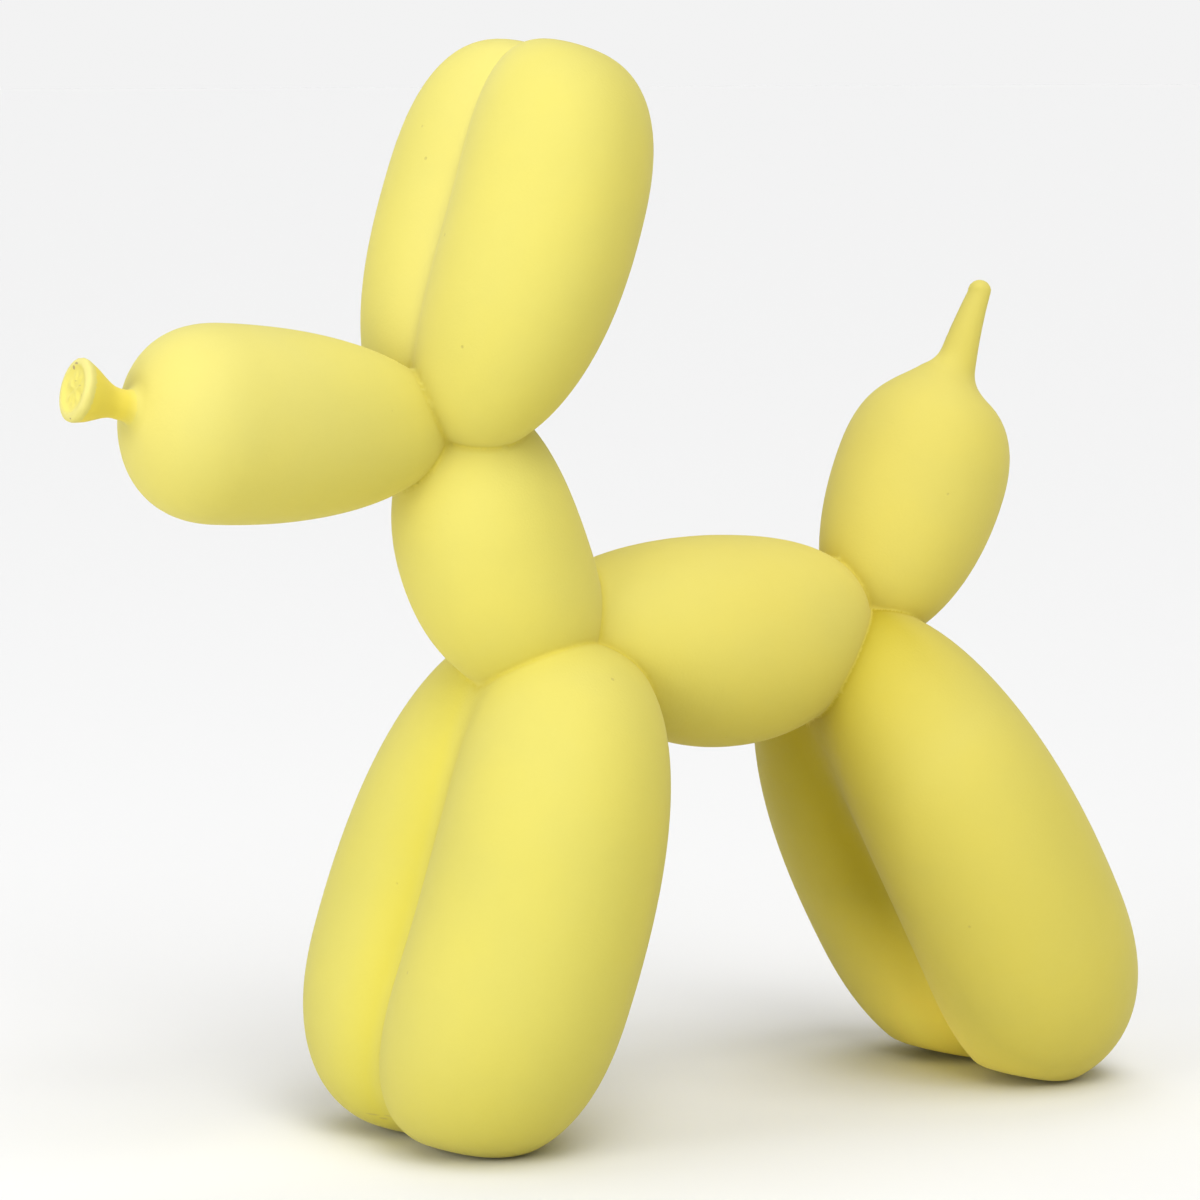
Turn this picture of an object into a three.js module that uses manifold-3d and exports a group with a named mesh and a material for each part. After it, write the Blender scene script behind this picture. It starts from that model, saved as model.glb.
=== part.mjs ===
import * as THREE from 'three';
import { mergeVertices } from 'three/addons/utils/BufferGeometryUtils.js';
import Module from 'manifold-3d';

// A balloon dog figurine, cast in one piece after a dog twisted from one long balloon.
// Millimetres, +Z up, the nose towards -X, the ground at z = 0, alike on both sides of y = 0.

// The twists that the bubbles meet in, as x and z on the dog's middle plane
const HEAD = { x: -40.4, z: 163.5 };
const SHOULDER = { x: -13, z: 111.5 };
const HIP = { x: 67, z: 111.5 };

// The bubbles. from and to are the ends of the middle line, as x, y and z from a twist, and
// a foot's from the ground under its twist. radius is the half width, and widest its place
// along the line as a share. fromRound and toRound say how full each end is: 2 is an ellipse
// and 3 nearly a box. bow is how far the middle line swings to the left of its way, seen
// from the dog's left. Twins also swing apart from each other, and broad is their width
// across the dog as a share of their width along it.
const SNOUT = {
  from: [-1.8, 0, -0.3],
  to: [-79, 0, 4.9],
  radius: 22.1,
  widest: 0.72,
  fromRound: 2.1,
  toRound: 2.45,
  bow: 0.2,
};
const NECK = {
  from: [1.7, 0, 5.6],
  to: [-0.3, 0, -9.1],
  radius: 21.5,
  widest: 0.52,
  fromRound: 2.17,
  toRound: 2.23,
  bow: -3.85,
};
const BODY = {
  from: [-4.1, 0, 7.1],
  to: [2.8, 0, 0.6],
  radius: 24.8,
  widest: 0.55,
  fromRound: 1.83,
  toRound: 2.25,
  bow: -4.8,
};
const TAIL = {
  from: [4.7, 0, -3.6],
  to: [30.1, 0, 56.6],
  radius: 20.6,
  widest: 0.61,
  fromRound: 2,
  toRound: 2.5,
  bow: -0.6,
};
const EAR = {
  from: [-2.1, 7.4, -3.4],
  to: [27.1, 11.1, 85.4],
  radius: 20.8,
  widest: 0.6,
  fromRound: 2.56,
  toRound: 2.91,
  bow: -0.9,
  apart: 7.1,
  broad: 1.13,
};
const FRONT_LEG = {
  from: [3.5, 6.2, 1.8],
  to: [-36.6, 15.4, 0.4],
  radius: 26.1,
  widest: 0.66,
  fromRound: 3.17,
  toRound: 2.64,
  bow: -0.7,
  apart: 10.3,
  broad: 1.02,
};
const HIND_LEG = {
  from: [-4, 7.1, 2],
  to: [55.8, 14.9, 0.7],
  radius: 25.4,
  widest: 0.67,
  fromRound: 2.64,
  toRound: 2.53,
  bow: -0.1,
  apart: 11.1,
  broad: 1.01,
};

// The balloon's open end at the nose: a short trumpet, tilted up from the snout and curling
// up a little more towards its rolled lip, with a shallow dish for a mouth
const NOZZLE_LENGTH = 14.8;
const NOZZLE_NECK_RADIUS = 3.4;
const NOZZLE_RIM_RADIUS = 6.9;
const NOZZLE_FLARE = 10.7;
const NOZZLE_LIP = 1.1;
const NOZZLE_DISH = 0.6;
const NOZZLE_ROOT = 8;
const NOZZLE_RAISE = 2.9;
const NOZZLE_CURL = 1;
const NOZZLE_TILT = THREE.MathUtils.degToRad(14.8);

// The balloon's closed end at the tail: a tapered nipple whose tip leans back
const NIPPLE_LENGTH = 24.4;
const NIPPLE_ROOT_RADIUS = 5.2;
const NIPPLE_TIP_RADIUS = 2.4;
const NIPPLE_ROOT = 3;
const NIPPLE_SHIFT = 0.3;
const NIPPLE_BACK = 9.5;
// Its foot spreads in a flare, mostly towards the front, where the tail's top is flatter
const NIPPLE_FLARE = 5.5;
const NIPPLE_FLARE_LENGTH = 9;
const NIPPLE_FLARE_FORWARD = 5;

// The feet stand on flats. In front of these their toes lift, and the hind feet's heels lift
// behind them: how far each lift starts from the twist above, and its rise in degrees.
const FRONT_TOE = -33;
const HIND_TOE = 46.5;
const TOE_RISE = 12.4;
const HIND_HEEL = 51;
const HEEL_RISE = 29.7;

// Facets: around a bubble, along each half of it, and around and along the small ends
const BUBBLE_SIDES = 24;
const BUBBLE_STEPS = 9;
const STEP_CROWDING = 1.4;
const SMALL_SIDES = 20;
const SMALL_STEPS = 5;
const SHAFT_STEPS = 10;

// What is flattened off the feet is taken away with blocks of this size
const GROUND_LENGTH = 400;
const LIFT_LENGTH = 40;
const GROUND_DEPTH = 20;

const PAINT = new THREE.MeshStandardMaterial({ color: 0xeedd77, roughness: 0.9, metalness: 0 });

const wasm = await Module();
wasm.setup();

// A closed mesh as a solid: shared corners merged, and the slivers at its poles left out
function solidOf(geometry) {
  geometry.deleteAttribute('normal');
  geometry.deleteAttribute('uv');
  const merged = mergeVertices(geometry);
  const corners = merged.index.array;
  const kept = [];
  for (let i = 0; i < corners.length; i += 3) {
    const [a, b, c] = corners.slice(i, i + 3);
    if (a !== b && b !== c && c !== a) kept.push(a, b, c);
  }
  return new wasm.Manifold(new wasm.Mesh({
    numProp: 3,
    vertProperties: new Float32Array(merged.attributes.position.array),
    triVerts: new Uint32Array(kept),
  }));
}

// The half outline of a bubble as radius and height, from its start to its end
function bubbleOutline(shape, length) {
  const outline = [new THREE.Vector2(0, 0)];
  for (let i = 1; i <= BUBBLE_STEPS; i += 1) {
    const turn = Math.PI / 2 * (i / BUBBLE_STEPS) ** STEP_CROWDING;
    const along = shape.widest * (1 - Math.cos(turn) ** (2 / shape.fromRound));
    outline.push(new THREE.Vector2(shape.radius * Math.sin(turn) ** (2 / shape.fromRound), along * length));
  }
  for (let i = BUBBLE_STEPS - 1; i >= 1; i -= 1) {
    const turn = Math.PI / 2 * (i / BUBBLE_STEPS) ** STEP_CROWDING;
    const along = 1 - (1 - shape.widest) * (1 - Math.cos(turn) ** (2 / shape.toRound));
    outline.push(new THREE.Vector2(shape.radius * Math.sin(turn) ** (2 / shape.toRound), along * length));
  }
  outline.push(new THREE.Vector2(0, length));
  return outline;
}

// One bubble between two twists. side is 0 on the middle plane, and 1 or -1 for a twin.
function bubble(shape, fromTwist, toTwist, side = 0) {
  const [fromX, fromY, fromZ] = shape.from;
  const [toX, toY, toZ] = shape.to;
  const start = new THREE.Vector3(fromTwist.x + fromX, side * fromY, fromTwist.z + fromZ);
  const end = new THREE.Vector3(toTwist.x + toX, side * toY, toTwist.z + toZ);
  const way = end.clone().sub(start);
  const length = way.length();
  way.normalize();
  const left = new THREE.Vector3().crossVectors(way, new THREE.Vector3(0, 1, 0)).normalize();
  const across = new THREE.Vector3().crossVectors(left, way);

  const skin = new THREE.LatheGeometry(bubbleOutline(shape, length), BUBBLE_SIDES);
  const points = skin.attributes.position;
  for (let i = 0; i < points.count; i += 1) {
    const share = points.getY(i) / length;
    const swing = 4 * share * (1 - share);
    points.setX(i, points.getX(i) + shape.bow * swing);
    if (side !== 0) points.setZ(i, points.getZ(i) * shape.broad + side * shape.apart * swing);
  }
  skin.applyMatrix4(new THREE.Matrix4().makeBasis(left, way, across).setPosition(start));
  return solidOf(skin);
}

// The nozzle stands on the snout's far end and points forwards
function nozzle() {
  const outline = [new THREE.Vector2(0, -NOZZLE_ROOT)];
  outline.push(new THREE.Vector2(NOZZLE_NECK_RADIUS, -NOZZLE_ROOT));
  const flareStart = NOZZLE_LENGTH - NOZZLE_FLARE;
  for (let i = 0; i <= SMALL_STEPS; i += 1) {
    const share = i / SMALL_STEPS;
    const opening = THREE.MathUtils.smoothstep(share, 0, 1);
    const radius = THREE.MathUtils.lerp(NOZZLE_NECK_RADIUS, NOZZLE_RIM_RADIUS, opening);
    outline.push(new THREE.Vector2(radius, flareStart + (NOZZLE_FLARE - NOZZLE_LIP) * share));
  }
  for (let i = 1; i < SMALL_STEPS; i += 1) {
    const turn = Math.PI * i / SMALL_STEPS;
    const radius = NOZZLE_RIM_RADIUS - NOZZLE_LIP * (1 - Math.cos(turn));
    outline.push(new THREE.Vector2(radius, NOZZLE_LENGTH - NOZZLE_LIP * (1 - Math.sin(turn))));
  }
  const dishRadius = NOZZLE_RIM_RADIUS - 2 * NOZZLE_LIP;
  outline.push(new THREE.Vector2(dishRadius, NOZZLE_LENGTH - NOZZLE_DISH));
  outline.push(new THREE.Vector2(0, NOZZLE_LENGTH - NOZZLE_DISH));
  const trumpet = new THREE.LatheGeometry(outline, SMALL_SIDES);
  trumpet.rotateZ(Math.PI / 2);
  const points = trumpet.attributes.position;
  for (let i = 0; i < points.count; i += 1) {
    const height = Math.max(-points.getX(i), 0);
    points.setZ(i, points.getZ(i) + NOZZLE_CURL * (height / NOZZLE_LENGTH) ** 2);
  }
  trumpet.rotateY(NOZZLE_TILT);
  trumpet.translate(HEAD.x + SNOUT.to[0], 0, HEAD.z + SNOUT.to[2] + NOZZLE_RAISE);
  return solidOf(trumpet);
}

// The nipple stands on the tail's far end: a flare, a tapered shaft and a round tip
function nipple() {
  const spread = (height) => Math.max(1 - (height + NIPPLE_ROOT) / (NIPPLE_FLARE_LENGTH + NIPPLE_ROOT), 0) ** 3;
  const shoulder = NIPPLE_LENGTH - NIPPLE_TIP_RADIUS;
  const outline = [new THREE.Vector2(0, -NIPPLE_ROOT)];
  for (let i = 0; i <= SHAFT_STEPS; i += 1) {
    const height = (shoulder + NIPPLE_ROOT) * (i / SHAFT_STEPS) ** STEP_CROWDING - NIPPLE_ROOT;
    const taper = THREE.MathUtils.lerp(NIPPLE_ROOT_RADIUS, NIPPLE_TIP_RADIUS, height / shoulder);
    outline.push(new THREE.Vector2(taper + NIPPLE_FLARE * spread(height), height));
  }
  for (let i = 1; i <= SMALL_STEPS; i += 1) {
    const turn = Math.PI / 2 * i / SMALL_STEPS;
    const radius = i < SMALL_STEPS ? NIPPLE_TIP_RADIUS * Math.cos(turn) : 0;
    outline.push(new THREE.Vector2(radius, shoulder + NIPPLE_TIP_RADIUS * Math.sin(turn)));
  }
  const shaft = new THREE.LatheGeometry(outline, SMALL_SIDES);
  shaft.rotateX(Math.PI / 2);
  const points = shaft.attributes.position;
  for (let i = 0; i < points.count; i += 1) {
    const height = points.getZ(i);
    const back = NIPPLE_SHIFT + NIPPLE_BACK * height / NIPPLE_LENGTH;
    points.setX(i, points.getX(i) + back - NIPPLE_FLARE_FORWARD * spread(height));
  }
  shaft.translate(HIP.x + TAIL.to[0], 0, HIP.z + TAIL.to[2]);
  return solidOf(shaft);
}

// A block whose top rises from the ground at x, towards the front or, with way 1, the back
function lift(x, rise, way) {
  const block = new THREE.BoxGeometry(LIFT_LENGTH, GROUND_LENGTH, GROUND_DEPTH);
  block.translate(way * LIFT_LENGTH / 2, 0, -GROUND_DEPTH / 2);
  block.rotateY(-way * THREE.MathUtils.degToRad(rise));
  block.translate(x, 0, 0);
  return solidOf(block);
}

// All bubbles run into each other at the twists, and the ground flattens the feet
function dog() {
  let figure = bubble(NECK, HEAD, SHOULDER);
  figure = figure.add(bubble(BODY, SHOULDER, HIP));
  figure = figure.add(bubble(SNOUT, HEAD, HEAD));
  figure = figure.add(bubble(TAIL, HIP, HIP));
  for (const side of [-1, 1]) {
    figure = figure.add(bubble(EAR, HEAD, HEAD, side));
    figure = figure.add(bubble(FRONT_LEG, SHOULDER, { x: SHOULDER.x, z: 0 }, side));
    figure = figure.add(bubble(HIND_LEG, HIP, { x: HIP.x, z: 0 }, side));
  }
  figure = figure.add(nozzle()).add(nipple());
  const ground = new THREE.BoxGeometry(GROUND_LENGTH, GROUND_LENGTH, GROUND_DEPTH);
  ground.translate(0, 0, -GROUND_DEPTH / 2);
  figure = figure.subtract(solidOf(ground));
  figure = figure.subtract(lift(SHOULDER.x + FRONT_TOE, TOE_RISE, -1));
  figure = figure.subtract(lift(HIP.x + HIND_TOE, TOE_RISE, -1));
  return figure.subtract(lift(HIP.x + HIND_HEEL, HEEL_RISE, 1));
}

// The cast figure's skin, moved along x so that it stands centred over the origin
function castFigure() {
  const { vertProperties, triVerts } = dog().getMesh();
  const skin = new THREE.BufferGeometry();
  skin.setAttribute('position', new THREE.BufferAttribute(vertProperties, 3));
  skin.setIndex(new THREE.BufferAttribute(triVerts, 1));
  skin.computeBoundingBox();
  skin.translate(-(skin.boundingBox.min.x + skin.boundingBox.max.x) / 2, 0, 0);
  skin.computeVertexNormals();
  return skin;
}

const figurine = new THREE.Group();
const balloonDog = new THREE.Mesh(castFigure(), PAINT);
balloonDog.name = 'balloon_dog';
figurine.add(balloonDog);

export default figurine;
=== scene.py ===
import math

import bmesh
import bpy
import numpy as np
from mathutils import Matrix, Vector


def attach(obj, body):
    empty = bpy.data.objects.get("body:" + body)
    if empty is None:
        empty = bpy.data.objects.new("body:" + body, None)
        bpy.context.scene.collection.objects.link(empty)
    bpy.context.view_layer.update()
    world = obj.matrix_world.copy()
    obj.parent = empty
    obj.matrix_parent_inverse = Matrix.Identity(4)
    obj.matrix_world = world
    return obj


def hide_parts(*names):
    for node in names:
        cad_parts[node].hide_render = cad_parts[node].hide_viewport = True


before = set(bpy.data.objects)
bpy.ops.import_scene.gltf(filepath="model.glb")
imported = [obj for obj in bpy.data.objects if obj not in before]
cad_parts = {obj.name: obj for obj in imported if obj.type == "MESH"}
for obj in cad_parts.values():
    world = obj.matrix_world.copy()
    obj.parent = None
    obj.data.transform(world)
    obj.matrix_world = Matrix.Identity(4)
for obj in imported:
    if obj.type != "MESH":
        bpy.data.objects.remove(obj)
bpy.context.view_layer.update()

# The camera stands to the front left of the dog and a little above it, a long way off with
# a long lens, and leans by a fraction of a degree.
view_azimuth = math.radians(30.95)
view_elevation = math.radians(6.49)
view_roll = math.radians(-0.23)
view_distance = 1.122
view_target = Vector((-0.0011, 0, 0.1219))
sensor_width = 36.0
focal_length = 145.8

ahead = Vector((
    math.sin(view_azimuth) * math.cos(view_elevation),
    math.cos(view_azimuth) * math.cos(view_elevation),
    -math.sin(view_elevation),
))
level_right = Vector((math.cos(view_azimuth), -math.sin(view_azimuth), 0))
level_up = level_right.cross(ahead)
camera_right = math.cos(view_roll) * level_right + math.sin(view_roll) * level_up
camera_up = math.cos(view_roll) * level_up - math.sin(view_roll) * level_right
camera_data = bpy.data.cameras.new("camera")
camera_data.sensor_width = sensor_width
camera_data.lens = focal_length
camera_data.clip_end = 100
camera = bpy.data.objects.new("camera", camera_data)
bpy.context.scene.collection.objects.link(camera)
camera.matrix_world = (
    Matrix.Translation(view_target - view_distance * ahead)
    @ Matrix((camera_right, camera_up, -ahead)).transposed().to_4x4()
)
bpy.context.scene.camera = camera

# The figure is one hollow resin cast of a dog twisted from a single long balloon. Every
# bubble is a turned shell between two twists, its middle line bowed and its ends rounded.
# All of them run together in one skin, with a soft crease where two bubbles press.

# The three twists, and the places on the ground below two of them
head = Vector((-0.0404, 0, 0.1635))
shoulder = Vector((-0.0130, 0, 0.1115))
hip = Vector((0.0670, 0, 0.1115))
under_shoulder = Vector((shoulder.x, 0, 0))
under_hip = Vector((hip.x, 0, 0))

# Each bubble has its two ends, its half width, its widest place as a share of its length, how
# full its ends are, and its bow. Twins swing apart, and broad is their width across the dog.
snout = dict(
    start=head + Vector((-0.0018, 0, -0.0003)),
    end=head + Vector((-0.0790, 0, 0.0049)),
    radius=0.0221, widest=0.72, start_round=2.1, end_round=2.45, bow=0.0002,
)
neck = dict(
    start=head + Vector((0.0017, 0, 0.0056)),
    end=shoulder + Vector((-0.0003, 0, -0.0091)),
    radius=0.0215, widest=0.52, start_round=2.17, end_round=2.23, bow=-0.00385,
)
body = dict(
    start=shoulder + Vector((-0.0041, 0, 0.0071)),
    end=hip + Vector((0.0028, 0, 0.0006)),
    radius=0.0248, widest=0.55, start_round=1.83, end_round=2.25, bow=-0.0048,
)
tail = dict(
    start=hip + Vector((0.0047, 0, -0.0036)),
    end=hip + Vector((0.0301, 0, 0.0566)),
    radius=0.0206, widest=0.61, start_round=2.0, end_round=2.5, bow=-0.0006,
)
ear = dict(
    start=head + Vector((-0.0021, 0.0074, -0.0034)),
    end=head + Vector((0.0271, 0.0111, 0.0854)),
    radius=0.0208, widest=0.6, start_round=2.56, end_round=2.91, bow=-0.0009,
    apart=0.0071, broad=1.13,
)
front_leg = dict(
    start=shoulder + Vector((0.0035, 0.0062, 0.0018)),
    end=under_shoulder + Vector((-0.0366, 0.0154, 0.0004)),
    radius=0.0261, widest=0.66, start_round=3.17, end_round=2.64, bow=-0.0007,
    apart=0.0103, broad=1.02,
)
hind_leg = dict(
    start=hip + Vector((-0.0040, 0.0071, 0.0020)),
    end=under_hip + Vector((0.0558, 0.0149, 0.0007)),
    radius=0.0254, widest=0.67, start_round=2.64, end_round=2.53, bow=-0.0001,
    apart=0.0111, broad=1.01,
)


def placed_bubble(shape, side=0):
    """A bubble with its own axes: the way it runs, its left, and across the dog."""
    mirror = Vector((1, side if side else 1, 1))
    start = shape["start"] * mirror
    way = shape["end"] * mirror - start
    length = way.length
    way.normalize()
    left = way.cross(Vector((0, 1, 0))).normalized()
    return dict(shape, start=start, way=way, left=left, across=left.cross(way), length=length,
                apart=side * shape.get("apart", 0), broad=shape.get("broad", 1))


bubbles = [placed_bubble(shape) for shape in (snout, neck, body, tail)]
bubbles += [placed_bubble(shape, side) for shape in (ear, front_leg, hind_leg) for side in (-1, 1)]
bubble_sides = 40
bubble_steps = 16


def spun_bubble(bm, bubble):
    """Spins the bubble's half outline full circle, bows it and puts it in its place."""
    outline = [(0.0, 0.0)]
    for i in range(1, bubble_steps):
        turn = math.pi * i / bubble_steps
        foremost = turn < math.pi / 2
        fullness = 2 / (bubble["start_round"] if foremost else bubble["end_round"])
        reach = abs(math.cos(turn)) ** fullness
        share = bubble["widest"] * (1 - reach)
        if not foremost:
            share = bubble["widest"] + (1 - bubble["widest"]) * reach
        outline.append((bubble["radius"] * math.sin(turn) ** fullness, share))
    outline.append((0.0, 1.0))
    points = [bm.verts.new((radius, 0, share)) for radius, share in outline]
    edges = [bm.edges.new(pair) for pair in zip(points, points[1:])]
    bmesh.ops.spin(bm, geom=points + edges, cent=(0, 0, 0), axis=(0, 0, 1),
                   angle=2 * math.pi, steps=bubble_sides, use_merge=True)
    shell = set(points)
    for face in bm.faces:
        if not face.tag:
            shell.update(face.verts)
            face.tag = True
    for point in shell:
        share = point.co.z
        swing = 4 * share * (1 - share)
        point.co = (
            bubble["start"] + bubble["way"] * share * bubble["length"]
            + bubble["left"] * (point.co.x + bubble["bow"] * swing)
            + bubble["across"] * (point.co.y * bubble["broad"] + bubble["apart"] * swing)
        )


# The balloon's open end at the nose, a short trumpet that curls up a little towards its
# rolled lip. Its mouth is a shallow dish with a ring of puckers, cast with the figure.
nozzle_length = 0.0148
nozzle_neck = 0.0034
nozzle_rim = 0.0069
nozzle_flare = 0.0107
nozzle_lip = 0.0011
nozzle_dish = 0.0006
nozzle_pucker = 0.0003
pucker_folds = 7
pucker_unevenness = 1.2
pucker_ring = 0.0022
pucker_width = 0.0013
dish_fillet = 0.0004
lip_fillet = 0.0009
nozzle_root = 0.0080
nozzle_root_fillet = 0.0006
nozzle_raise = 0.0029
nozzle_curl = 0.0010
nozzle_tilt = math.radians(14.8)
nozzle_way = Vector((-math.cos(nozzle_tilt), 0, math.sin(nozzle_tilt)))
nozzle_up = Vector((math.sin(nozzle_tilt), 0, math.cos(nozzle_tilt)))
nozzle_foot = snout["end"] + Vector((0, 0, nozzle_raise))


def trumpet_radius(height):
    """The nozzle's outer radius at a height above the snout's end."""
    share = np.clip((height - nozzle_length + nozzle_flare) / (nozzle_flare - nozzle_lip), 0, 1)
    return nozzle_neck + (nozzle_rim - nozzle_neck) * share * share * (3 - 2 * share)


# The balloon's closed end at the tail, a tapered nipple that leans back and bends a little,
# cast with the tail and spread into its top, mostly towards the front
nipple_length = 0.0244
nipple_root_radius = 0.0052
nipple_tip_radius = 0.0024
nipple_root = 0.0030
nipple_shift = 0.0003
nipple_lean = 0.387
nipple_bend = 0.0007
tip_bevel = 0.3


def nipple_radius(height):
    """The nipple's radius at a height above the tail's end."""
    return nipple_root_radius + (nipple_tip_radius - nipple_root_radius) * height / nipple_length


end_sides = 32
nozzle_steps = 12
nipple_steps = 8


def turned_end(bm, outline, foot, place):
    """Spins a small end's outline of radii and heights, and puts each ring in its place."""
    before = set(bm.verts)
    points = [bm.verts.new((radius, 0, height)) for radius, height in outline]
    edges = [bm.edges.new(pair) for pair in zip(points, points[1:])]
    bmesh.ops.spin(bm, geom=points + edges, cent=(0, 0, 0), axis=(0, 0, 1),
                   angle=2 * math.pi, steps=end_sides, use_merge=True)
    for point in set(bm.verts) - before:
        point.co = foot + place(point.co)


def nozzle_place(point):
    curl = nozzle_curl * (point.z / nozzle_length) ** 2
    return point.z * nozzle_way + (point.x + curl) * nozzle_up + Vector((0, point.y, 0))


def nipple_line(height):
    """How far back the nipple's middle line is at a height above the tail's end."""
    share = height / nipple_length
    return nipple_shift + nipple_lean * height - nipple_bend * 4 * share * (1 - share)


def nipple_place(point):
    return Vector((point.x + nipple_line(point.z), point.y, point.z))


shells = bmesh.new()
for bubble in bubbles:
    spun_bubble(shells, bubble)
nozzle_outline = [(0, -nozzle_root)]
for i in range(nozzle_steps + 1):
    height = -nozzle_root + (nozzle_length + nozzle_root - nozzle_lip) * i / nozzle_steps
    nozzle_outline.append((float(trumpet_radius(height)), height))
nozzle_outline += [(nozzle_rim - nozzle_lip, nozzle_length), (0, nozzle_length - nozzle_lip)]
turned_end(shells, nozzle_outline, nozzle_foot, nozzle_place)
nipple_outline = [(0, -nipple_root)]
for i in range(nipple_steps + 1):
    height = -nipple_root + (nipple_length - nipple_tip_radius + nipple_root) * i / nipple_steps
    nipple_outline.append((nipple_radius(height), height))
nipple_outline += [
    (nipple_tip_radius * (1 - tip_bevel), nipple_length - nipple_tip_radius * tip_bevel),
    (0, nipple_length),
]
turned_end(shells, nipple_outline, tail["end"], nipple_place)
bmesh.ops.remove_doubles(shells, verts=shells.verts, dist=1e-6)
bmesh.ops.recalc_face_normals(shells, faces=shells.faces)
shell_mesh = bpy.data.meshes.new("shells")
shells.to_mesh(shell_mesh)
shells.free()

# One closed skin is drawn round all the shells, and is laid on the bubbles' own curves below
skin_grain = 0.0016
shell_object = bpy.data.objects.new("shells", shell_mesh)
bpy.context.scene.collection.objects.link(shell_object)
joined = shell_object.modifiers.new("joined", "REMESH")
joined.mode = "VOXEL"
joined.voxel_size = skin_grain
bpy.context.view_layer.update()
evaluated = shell_object.evaluated_get(bpy.context.evaluated_depsgraph_get())
skin_mesh = bpy.data.meshes.new_from_object(evaluated)
bpy.data.objects.remove(shell_object)

# The skin follows the bubbles' own curves: how far a point is outside each of them is worked
# out from the same sizes. Where two are equally near a fillet joins them, a wider one between
# twins, which narrows at the ears' tops and at the hind feet.
crease_fillet = 0.0009
ear_fillet = 0.0035
ear_top_fillet = 0.0005
ear_top_rise = (0.222, 0.244)
front_fillet = 0.0055
hind_fillet = 0.0110
hind_foot_fillet = 0.0040
hind_foot_rise = (0.035, 0.008)
nozzle_fillet = 0.0030
nipple_back_fillet = 0.0050
nipple_front_fillet = 0.0120
nipple_front_rise = (0.004, -0.006)
foot_fillet = 0.0014
skin_coat = 0.0001
least_slope = 0.3
least_steepness = 0.05

# Each pair of feet stands on flats that end where its toes lift, and the hind feet's heels
# rise from the ground as well
front_toe = shoulder.x - 0.0330
hind_toe = hip.x + 0.0465
toe_rise = 0.22
between_feet = 0.03
hind_heel = hip.x + 0.0510
heel_rise = 0.57


def risen(values, reach):
    """From 0 at the first end of a reach to 1 at the other, and level beyond them."""
    return np.clip((values - reach[0]) / (reach[1] - reach[0]), 0, 1)


def between(first, second, share):
    return first + (second - first) * share


def soft_min(a, b, fillet):
    """The lesser of two distances, rounded over by a fillet where they are nearly equal."""
    meet = np.maximum(fillet - np.abs(a - b), 0) / fillet
    return np.minimum(a, b) - meet * meet * fillet / 4


def soft_max(a, b, fillet):
    return -soft_min(-a, -b, fillet)


def outside_bubble(points, bubble):
    """How far each point is outside a bubble, in metres, and less than nothing inside it."""
    away = points - np.array(bubble["start"])
    share = away @ np.array(bubble["way"]) / bubble["length"]
    swing = 4 * share * (1 - share)
    over = away @ np.array(bubble["left"]) - bubble["bow"] * swing
    side = (away @ np.array(bubble["across"]) - bubble["apart"] * swing) / bubble["broad"]
    from_line = np.hypot(over, side) / bubble["radius"]
    first = share < bubble["widest"]
    full = np.where(first, bubble["start_round"], bubble["end_round"])
    half = np.where(first, bubble["widest"], 1 - bubble["widest"])
    from_widest = np.abs(share - bubble["widest"]) / half
    size = np.maximum((from_widest**full + from_line**full) ** (1 / full), 1e-3)
    slope = size ** (1 - full) * np.hypot(
        from_widest ** (full - 1) / (half * bubble["length"]),
        from_line ** (full - 1) / bubble["radius"],
    )
    return (size - 1) / np.maximum(slope, least_slope / bubble["radius"])


def outside_nozzle(points):
    """How far each point is outside the nozzle: its trumpet, its rolled lip and its dish."""
    away = points - np.array(nozzle_foot)
    height = away @ np.array(nozzle_way)
    curl = nozzle_curl * (np.clip(height, 0, None) / nozzle_length) ** 2
    lift = away @ np.array(nozzle_up) - curl
    from_line = np.hypot(points[:, 1], lift)
    mouth = nozzle_length - nozzle_lip
    around = np.arctan2(points[:, 1], lift)
    folds = np.cos(pucker_folds * around + pucker_unevenness * np.sin(2 * around))
    pucker = nozzle_pucker * folds * np.exp(-(((from_line - pucker_ring) / pucker_width) ** 2))
    dish = height - (nozzle_length - nozzle_dish) + pucker
    wall = soft_max(from_line - trumpet_radius(height), dish, dish_fillet)
    lip = np.hypot(from_line - (nozzle_rim - nozzle_lip), height - mouth) - nozzle_lip
    return soft_max(soft_min(wall, lip, lip_fillet), -nozzle_root - height, nozzle_root_fillet)


def outside_nipple(points):
    """How far each point is outside the nipple, a leaning tapered shaft with a round tip."""
    height = points[:, 2] - tail["end"].z
    reach = np.clip(height, -nipple_root, nipple_length - nipple_tip_radius)
    back = points[:, 0] - tail["end"].x - nipple_line(reach)
    steep = math.sqrt(1 + nipple_lean**2)
    from_line = np.sqrt((back / steep) ** 2 + points[:, 1] ** 2 + (height - reach) ** 2)
    return from_line - nipple_radius(reach)


def forms(points):
    """How far each point is outside each form of the figure, twins counting as one form."""
    single = [outside_bubble(points, bubble) - skin_coat for bubble in bubbles]
    ears = between(ear_fillet, ear_top_fillet, risen(points[:, 2], ear_top_rise))
    hinds = between(hind_fillet, hind_foot_fillet, risen(points[:, 2], hind_foot_rise))
    return single[:4] + [
        soft_min(single[4], single[5], ears),
        soft_min(single[6], single[7], front_fillet),
        soft_min(single[8], single[9], hinds),
    ]


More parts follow.
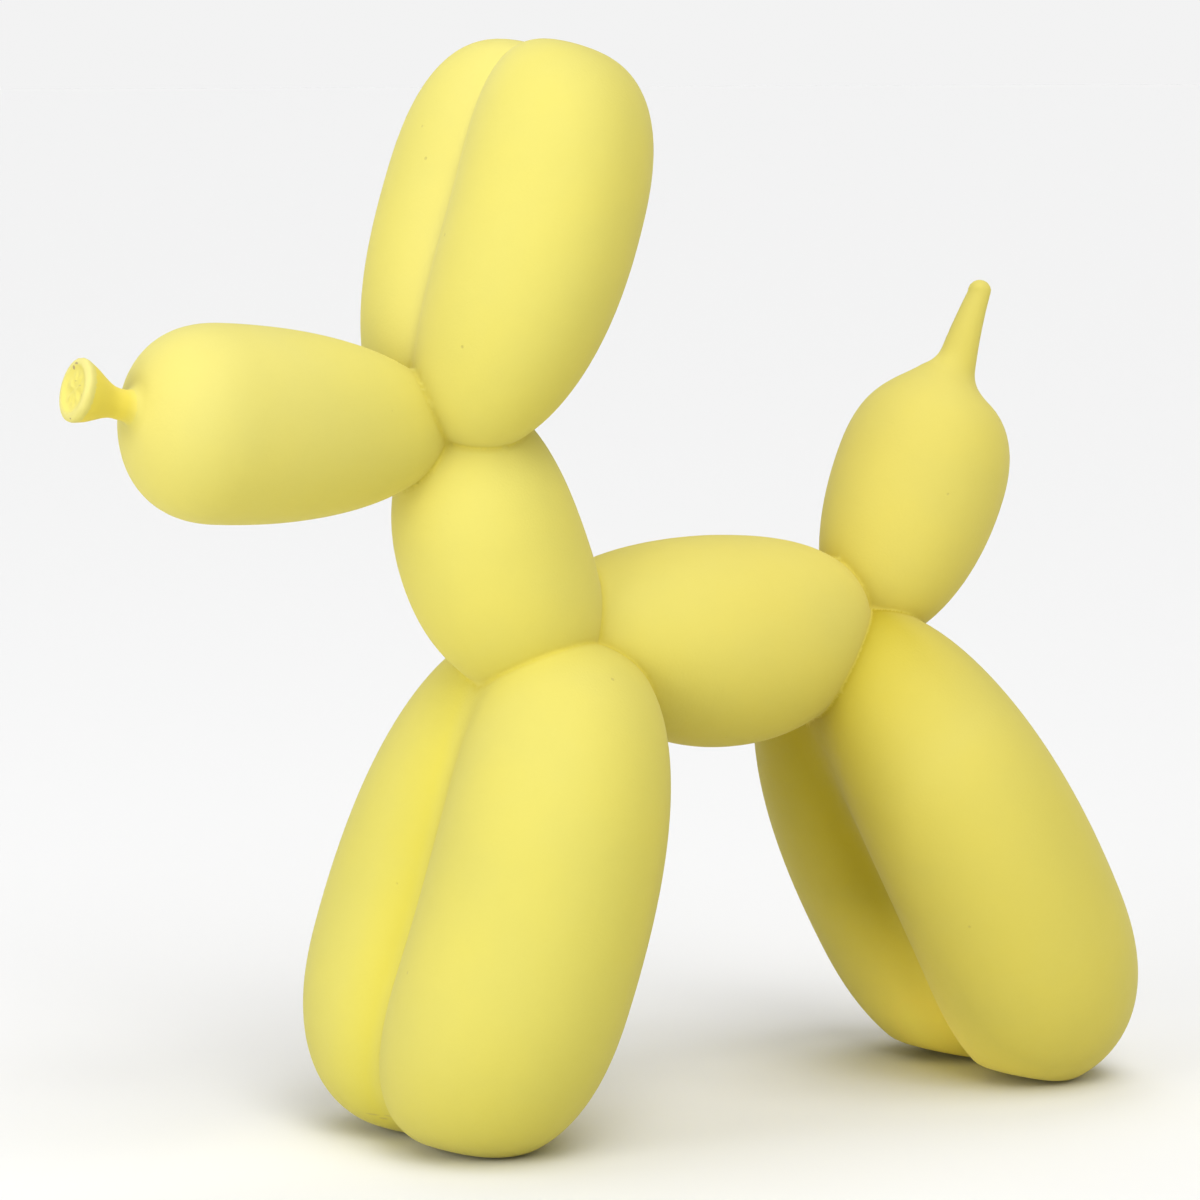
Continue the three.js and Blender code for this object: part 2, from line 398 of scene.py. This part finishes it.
def outside_skin(points):
    """How far each point is outside the whole figure, creases and flat feet included."""
    outside, *others = forms(points)
    for other in others:
        outside = soft_min(outside, other, crease_fillet)
    outside = soft_min(outside, outside_nozzle(points), nozzle_fillet)
    forward = risen(points[:, 0] - tail["end"].x, nipple_front_rise)
    fillet = between(nipple_back_fillet, nipple_front_fillet, forward)
    outside = soft_min(outside, outside_nipple(points), fillet)
    toe = np.where(points[:, 0] < between_feet, front_toe, hind_toe)
    toes = ((toe - points[:, 0]) * toe_rise - points[:, 2]) / math.hypot(1, toe_rise)
    heels = ((points[:, 0] - hind_heel) * heel_rise - points[:, 2]) / math.hypot(1, heel_rise)
    outside = soft_max(outside, toes, foot_fillet)
    outside = soft_max(outside, heels, foot_fillet)
    return soft_max(outside, -points[:, 2], foot_fillet)


def outward(points, step=0.0001):
    """Which way the skin faces at each point, and how steeply the distance grows there."""
    slope = np.empty_like(points)
    for axis in range(3):
        nudge = np.zeros(3)
        nudge[axis] = step
        rise = outside_skin(points + nudge) - outside_skin(points - nudge)
        slope[:, axis] = rise / (2 * step)
    return slope


def laid_on_skin(points, rounds=3):
    """The points, moved onto the figure's own surface."""
    for _ in range(rounds):
        slope = outward(points)
        steep = np.maximum((slope**2).sum(1), least_steepness)
        points = points - slope * (outside_skin(points) / steep)[:, None]
    return points


def places(bm):
    return np.array([point.co for point in bm.verts])


def put(bm, points):
    for point, place in zip(bm.verts, points):
        point.co = place


def crease_nearness(points):
    """How nearly two of the figure's forms are equally close, in metres of difference."""
    every = np.sort(forms(points) + [outside_nozzle(points), outside_nipple(points)], axis=0)
    return every[1] - every[0]


# The skin is laid on the curves, and made finer at the creases, the nozzle and the nipple
skin = bmesh.new()
skin.from_mesh(skin_mesh)
put(skin, laid_on_skin(places(skin)))
nozzle_middle = np.array(snout["end"]) + [-nozzle_length / 2, 0, nozzle_raise]
nipple_middle = np.array(tail["end"]) + [nipple_lean * nipple_length / 2, 0, nipple_length / 2]
nozzle_reach = nozzle_length * 0.9
nipple_reach = nipple_length * 0.62
ear_crown = 0.228
wide_band = 0.0030
narrow_band = 0.0012
for band in (wide_band, narrow_band):
    points = places(skin)
    close = crease_nearness(points) < band
    close |= np.linalg.norm(points - nozzle_middle, axis=1) < nozzle_reach
    close |= (points[:, 2] > ear_crown) & (np.abs(points[:, 1]) < band)
    if band == wide_band:
        close |= np.linalg.norm(points - nipple_middle, axis=1) < nipple_reach
    skin.verts.index_update()
    split = [edge for edge in skin.edges if all(close[point.index] for point in edge.verts)]
    bmesh.ops.subdivide_edges(skin, edges=split, cuts=1, use_grid_fill=True)
    put(skin, laid_on_skin(places(skin), rounds=2))
    for _ in range(2):
        bmesh.ops.smooth_vert(skin, verts=skin.verts, factor=0.5,
                              use_axis_x=True, use_axis_y=True, use_axis_z=True)
        put(skin, laid_on_skin(places(skin), rounds=1))
skin_places = laid_on_skin(places(skin), rounds=2)
put(skin, skin_places)
for face in skin.faces:
    face.smooth = True
dog_mesh = bpy.data.meshes.new("dog")
skin.to_mesh(dog_mesh)
skin.free()
dog = bpy.data.objects.new("dog", dog_mesh)
bpy.context.scene.collection.objects.link(dog)

# What the painted light and shade follow: painted shade in the creases and the hind legs' valley,
# painted light beside the ears' valley, low on the hind legs, in the nozzle's mouth and on the
# neck, most under the ears, painted reflection in the front legs' valley, a painted highlight on
# the lip, the nozzle's side, and how far a surface faces the light, painted paler lit and deeper
# in shade
crease_shade_reach = 0.0017
ear_reach = 0.0150
front_reach = 0.0150
hind_reach = 0.0300
tie = 1e-6
valley_core = 0.3
valley_core_share = 0.4
hind_valley_strength = 1.3
hind_valley_rise = (0.008, 0.048)
hind_low_strength = 1.6
hind_low_rise = (0.044, 0.012)
forward_middle = 0.8
forward_swing = -1.5
neck_least = 0.35
neck_rise = (0.137, 0.150)
# Painted light and shade: surfaces facing this way are painted paler, those facing away deeper
painted_light_way = np.array(Vector((-0.50, -0.30, 0.80)).normalized())
painted_light_middle = 0.45
painted_light_swing = 0.65
nozzle_skin = 0.0005
lip_height = nozzle_length - 0.0022
lip_inside = nozzle_rim - 0.0013
mouth_outside = nozzle_rim - 0.0017
nozzle_side_rise = (-0.001, 0.003)


def paint_guides(points, facing):
    """How strongly each shade of the paint shows at each point of the skin."""
    single = [outside_bubble(points, bubble) for bubble in bubbles]
    twins = [(single[i], single[i + 1]) for i in (4, 6, 8)]
    pairs = [np.minimum(*pair) for pair in twins]
    every = np.sort(single[:4] + pairs, axis=0)
    crease = np.clip(1 - (every[1] - every[0]) / crease_shade_reach, 0, 1)
    ears, fronts, hinds = [
        np.where(pair <= every[0] + tie, np.clip(1 - np.abs(left - right) / reach, 0, 1), 0)
        for pair, (left, right), reach in zip(pairs, twins, (ear_reach, front_reach, hind_reach))
    ]
    forward = np.clip(forward_middle + forward_swing * facing[:, 0], 0, 1)
    hind_valley = np.clip(hind_valley_strength * hinds, 0, 1) * forward
    hind_low = np.clip(hind_low_strength * hinds, 0, 1) * forward
    on_neck = single[1] <= every[0] + tie
    away = points - np.array(nozzle_foot)
    height = away @ np.array(nozzle_way)
    lift = away @ np.array(nozzle_up) - nozzle_curl * (height / nozzle_length) ** 2
    from_line = np.hypot(points[:, 1], lift)
    on_nozzle = outside_nozzle(points) < nozzle_skin
    foremost = on_nozzle & (height > lip_height)
    side = on_nozzle & (height <= lip_height)
    return {
        "crease": crease,
        "ear_valley": ears,
        "valley": fronts * np.clip((1 - fronts) / valley_core, valley_core_share, 1),
        "hind_valley": hind_valley * risen(points[:, 2], hind_valley_rise),
        "hind_low": hind_low * risen(points[:, 2], hind_low_rise),
        "painted_neck_light": on_neck * between(neck_least, 1, risen(points[:, 2], neck_rise)),
        # painted light and shade by which way the surface faces
        "painted_lit_side": np.clip(painted_light_middle + painted_light_swing * (facing @ painted_light_way), 0, 1),
        "lip": foremost & (from_line > lip_inside),
        "mouth": foremost & (from_line < mouth_outside),
        "nozzle_side": side * risen(height, nozzle_side_rise),
    }


facing = np.empty(len(dog_mesh.vertices) * 3)
dog_mesh.vertex_normals.foreach_get("vector", facing)
for name, values in paint_guides(skin_places, facing.reshape(-1, 3)).items():
    layer = dog_mesh.attributes.new(name, "FLOAT", "POINT")
    layer.data.foreach_set("value", values.astype(np.float32))

# Matte powdery paint, sprayed on the cast. It is a pale yellow with painted light and shade,
# deeper where shade falls, with faint clouds, a fine grain, a few pits and specks, and dark chips
# on the nozzle's rim.
paint = bpy.data.materials.new("matte_paint")
paint.use_nodes = True
nodes = paint.node_tree.nodes
links = paint.node_tree.links
shader = nodes["Principled BSDF"]
paint_shine = 0.3
powder_sheen = 0.12
powder_sheen_roughness = 0.5
powder_sheen_tint = (0.9, 0.9, 0.85, 1)
shader.inputs["Specular IOR Level"].default_value = paint_shine
shader.inputs["Sheen Weight"].default_value = powder_sheen
shader.inputs["Sheen Roughness"].default_value = powder_sheen_roughness
shader.inputs["Sheen Tint"].default_value = powder_sheen_tint

coordinates = nodes.new("ShaderNodeTexCoord").outputs["Object"]


def noise(scale, detail, roughness=0.5):
    node = nodes.new("ShaderNodeTexNoise")
    node.inputs["Scale"].default_value = scale
    node.inputs["Detail"].default_value = detail
    node.inputs["Roughness"].default_value = roughness
    links.new(coordinates, node.inputs["Vector"])
    return node.outputs["Fac"]


def ranged(value, low, high, to_low=0.0, to_high=1.0):
    """Goes from to_low, where the value is low, to to_high, where it is high."""
    node = nodes.new("ShaderNodeMapRange")
    numbers = {"From Min": low, "From Max": high, "To Min": to_low, "To Max": to_high}
    for socket, number in numbers.items():
        node.inputs[socket].default_value = number
    links.new(value, node.inputs["Value"])
    return node.outputs["Result"]


def mixed(share, first, second, way="MIX"):
    """Mixes two colours, each a colour or another node's output."""
    node = nodes.new("ShaderNodeMix")
    node.data_type = "RGBA"
    node.blend_type = way
    links.new(share, node.inputs["Factor"])
    for socket, colour in ((6, first), (7, second)):
        if isinstance(colour, tuple):
            node.inputs[socket].default_value = (*colour, 1)
        else:
            links.new(colour, node.inputs[socket])
    return node.outputs[2]


def worked_out(operation, first, second):
    """A sum, a product and so on of a node's output and a number or another node's output."""
    node = nodes.new("ShaderNodeMath")
    node.operation = operation
    links.new(first, node.inputs[0])
    if isinstance(second, float):
        node.inputs[1].default_value = second
    else:
        links.new(second, node.inputs[1])
    return node.outputs["Value"]


def painted(name):
    node = nodes.new("ShaderNodeAttribute")
    node.attribute_name = name
    return node.outputs["Fac"]


# Painted light and shade: the paler yellow where a surface faces the light, the deeper one in
# shade
lit_side_yellow = (0.715, 0.637, 0.136)
shaded_side_yellow = (0.665, 0.578, 0.080)
tail_warmth = (1.0, 0.965, 0.92)
tail_warmth_rise = (-0.03, 0.03)
snout_paleness = (1.0, 1.0, 1.17)
snout_paleness_rise = (-0.055, -0.090)
# Darker and less blue towards the feet
legs_darker_low = (0.935, 0.94, 0.84)
legs_darker_low_rise = (0.115, 0.070)
cloud_shade = (0.965, 0.975, 1.04)
cloud_scale = 38
cloud_rise = (0.35, 0.65)
guided_shades = dict(
    # painted light: paler beside the line between the ears
    ear_valley=(1.02, 1.03, 1.27),
    # painted reflection: more golden in the valley between the front legs
    valley=(1.03, 1.01, 0.60),
    # painted shade: darker on the front of the hind legs' valley
    hind_valley=(0.74, 0.69, 0.12),
    # painted light: lighter low on the hind legs' valley, towards the feet
    hind_low=(1.80, 1.77, 1.95),
    # painted light: lighter on the neck, most of all under the ears
    painted_neck_light=(1.10, 1.10, 1.10),
    # painted shade: darker and more golden in the creases
    crease=(0.93, 0.89, 0.60),
    # painted highlight on the nozzle's lip
    lip=(1.04, 1.05, 1.32),
    # painted light: brighter in the nozzle's mouth
    mouth=(1.05, 1.04, 0.92),
    nozzle_side=(1.14, 1.07, 0.62),
)

colour = mixed(painted("painted_lit_side"), shaded_side_yellow, lit_side_yellow)
along = nodes.new("ShaderNodeSeparateXYZ")
links.new(coordinates, along.inputs["Vector"])
for share, shade in (
    (ranged(along.outputs["X"], *tail_warmth_rise), tail_warmth),
    (ranged(along.outputs["X"], *snout_paleness_rise), snout_paleness),
    (ranged(along.outputs["Z"], *legs_darker_low_rise), legs_darker_low),
    (ranged(noise(cloud_scale, detail=3), *cloud_rise), cloud_shade),
):
    colour = mixed(share, colour, shade, "MULTIPLY")
for name, shade in guided_shades.items():
    colour = mixed(painted(name), colour, shade, "MULTIPLY")

# A few small pits in the paint, browner inside
speck_and_shade_brown = (0.42, 0.33, 0.10)
pit_scale = 70
pit_edge = (0.035, 0.020)
pit_share = 0.35
cells = nodes.new("ShaderNodeTexVoronoi")
cells.inputs["Scale"].default_value = pit_scale
links.new(coordinates, cells.inputs["Vector"])
pits = ranged(cells.outputs["Distance"], *pit_edge)
colour = mixed(worked_out("MULTIPLY", pits, pit_share), colour, speck_and_shade_brown)

ragged_scale = 2500
ragged_share = 0.8
spot_edge = (1.4, 1.0)
raggedness = worked_out("MULTIPLY", noise(ragged_scale, detail=2), ragged_share)


def spots(places_and_reaches):
    """Ragged spots, each at a place and reaching some way from it along X, Y and Z."""
    together = None
    for place, reach in places_and_reaches:
        away = coordinates
        for operation, numbers in (("SUBTRACT", place), ("DIVIDE", reach), ("LENGTH", None)):
            node = nodes.new("ShaderNodeVectorMath")
            node.operation = operation
            links.new(away, node.inputs[0])
            if numbers:
                node.inputs[1].default_value = numbers
            away = node.outputs["Value" if operation == "LENGTH" else "Vector"]
        spot = ranged(worked_out("ADD", away, raggedness), *spot_edge)
        together = spot if together is None else worked_out("MAXIMUM", together, spot)
    return together


# Chips on the nozzle's rim
chip_brown = (0.40, 0.31, 0.14)
chips = spots((
    ((-0.1321, 0.0010, 0.1814), (0.0008, 0.0008, 0.0003)),
    ((-0.1322, 0.0022, 0.1804), (0.0007, 0.0005, 0.0006)),
    ((-0.1347, -0.0015, 0.1697), (0.0005, 0.0004, 0.0003)),
))
colour = mixed(chips, colour, chip_brown)

# Small marks: wrinkles low on the right front foot, painted shade in the puckers of the nozzle's
# mouth, and specks on the left ear and the neck
mark_share = 0.45
marks = spots((
    ((-0.0585, 0.0061, 0.0066), (0.0020, 0.0022, 0.0003)),
    ((-0.0556, 0.0024, 0.0068), (0.0020, 0.0020, 0.0003)),
    ((-0.0570, 0.0040, 0.0058), (0.0020, 0.0014, 0.0003)),
    # painted shade in the folds of the mouth's puckers
    ((-0.1327, 0.0008, 0.1776), (0.0008, 0.0010, 0.0002)),
    ((-0.1329, -0.0022, 0.1768), (0.0008, 0.0009, 0.0002)),
    ((-0.1333, -0.0036, 0.1748), (0.0008, 0.0003, 0.0005)),
    ((-0.0423, -0.0301, 0.2101), (0.0004, 0.0004, 0.0003)),
    ((-0.0416, -0.0340, 0.1973), (0.0004, 0.0004, 0.0003)),
    ((-0.0381, -0.0196, 0.1360), (0.0004, 0.0004, 0.0003)),
))
colour = mixed(worked_out("MULTIPLY", marks, mark_share), colour, speck_and_shade_brown)
links.new(colour, shader.inputs["Base Color"])

# The paint is duller and smoother by turns, and has a fine grain over soft waves
dull_scale = 220
dull_rise = (0.3, 0.7)
roughness_between = (0.74, 0.84)
dullness = ranged(noise(dull_scale, detail=2), *dull_rise, *roughness_between)
links.new(dullness, shader.inputs["Roughness"])

grain_scale = 1400
grain_roughness = 0.6
grain_share = 0.6
wave_scale = 260
pit_depth = 2.0
relief_strength = 0.35
relief_height = 0.0002
grain = noise(grain_scale, detail=3, roughness=grain_roughness)
waves = worked_out("ADD", worked_out("MULTIPLY", grain, grain_share), noise(wave_scale, detail=2))
relief = worked_out("SUBTRACT", waves, worked_out("MULTIPLY", pits, pit_depth))
bump = nodes.new("ShaderNodeBump")
bump.inputs["Strength"].default_value = relief_strength
bump.inputs["Distance"].default_value = relief_height
links.new(relief, bump.inputs["Height"])
links.new(bump.outputs["Normal"], shader.inputs["Normal"])
dog.data.materials.append(paint)

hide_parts("balloon_dog")
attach(dog, "root")

# A plain pale floor, quite matte, that runs far back to the bright band of the sky
floor_radius = 30
floor_white = (0.84, 0.84, 0.84, 1)
floor_bm = bmesh.new()
bmesh.ops.create_circle(floor_bm, cap_ends=True, radius=floor_radius, segments=64)
floor_mesh = bpy.data.meshes.new("floor")
floor_bm.to_mesh(floor_mesh)
floor_bm.free()
floor = bpy.data.objects.new("floor", floor_mesh)
bpy.context.scene.collection.objects.link(floor)
floor_paint = bpy.data.materials.new("floor")
floor_paint.use_nodes = True
floor_shader = floor_paint.node_tree.nodes["Principled BSDF"]
floor_shader.inputs["Base Color"].default_value = floor_white
floor_shader.inputs["Roughness"].default_value = 1
floor_shader.inputs["Specular IOR Level"].default_value = 0
floor.data.materials.append(floor_paint)

# A white room: an even dim sky with a bright band low down, where it meets the floor
sky_strength = 0.32
horizon_strength = 0.895
band_foot = 0.03
band_top = 0.10
world = bpy.data.worlds.new("studio")
bpy.context.scene.world = world
world.use_nodes = True
sky_nodes = world.node_tree.nodes
sky_links = world.node_tree.links
sky_way = sky_nodes.new("ShaderNodeTexCoord")
sky_axes = sky_nodes.new("ShaderNodeSeparateXYZ")
sky_band = sky_nodes.new("ShaderNodeMapRange")
sky_band.inputs["From Min"].default_value = band_foot
sky_band.inputs["From Max"].default_value = band_top
sky_band.inputs["To Min"].default_value = horizon_strength
sky_band.inputs["To Max"].default_value = sky_strength
sky_links.new(sky_way.outputs["Generated"], sky_axes.inputs["Vector"])
sky_links.new(sky_axes.outputs["Z"], sky_band.inputs["Value"])
sky_links.new(sky_band.outputs["Result"], sky_nodes["Background"].inputs["Strength"])
sky_nodes["Background"].inputs["Color"].default_value = (1, 1, 1, 1)
bpy.context.scene.view_settings.view_transform = "Standard"

# A big soft lamp near the dog's nose, and broad light from the front, above, left and behind.
# Each is turned from the camera's side of the dog and raised, in degrees.
key_turn = -45
key_height = 14
key_energy = 9.3
key_size = 0.9
key_distance = 1.6
key_aim = Vector((0, 0, 0.12))
broad_lights = (
    dict(name="front", turn=15, height=42, energy=1.07),
    dict(name="above", turn=30, height=68, energy=0.93),
    dict(name="left", turn=-90, height=68, energy=0.33),
    dict(name="behind", turn=180, height=68, energy=0.49),
)
broad_softness = math.radians(35)


def light_way(turn, height):
    """The way from the dog towards a light."""
    around = -view_azimuth + math.radians(turn)
    raised = math.radians(height)
    level = math.cos(raised)
    return Vector((math.sin(around) * level, -math.cos(around) * level, math.sin(raised)))


def soft_light(kind, name, turn, height, energy):
    data = bpy.data.lights.new(name, kind)
    data.energy = energy
    light = bpy.data.objects.new(name, data)
    bpy.context.scene.collection.objects.link(light)
    light.rotation_euler = light_way(turn, height).to_track_quat("Z", "Y").to_euler()
    return light


key = soft_light("AREA", "key", key_turn, key_height, key_energy)
key.data.shape = "DISK"
key.data.size = key_size
key.location = key_aim + key_distance * light_way(key_turn, key_height)
for broad_light in broad_lights:
    soft_light("SUN", **broad_light).data.angle = broad_softness
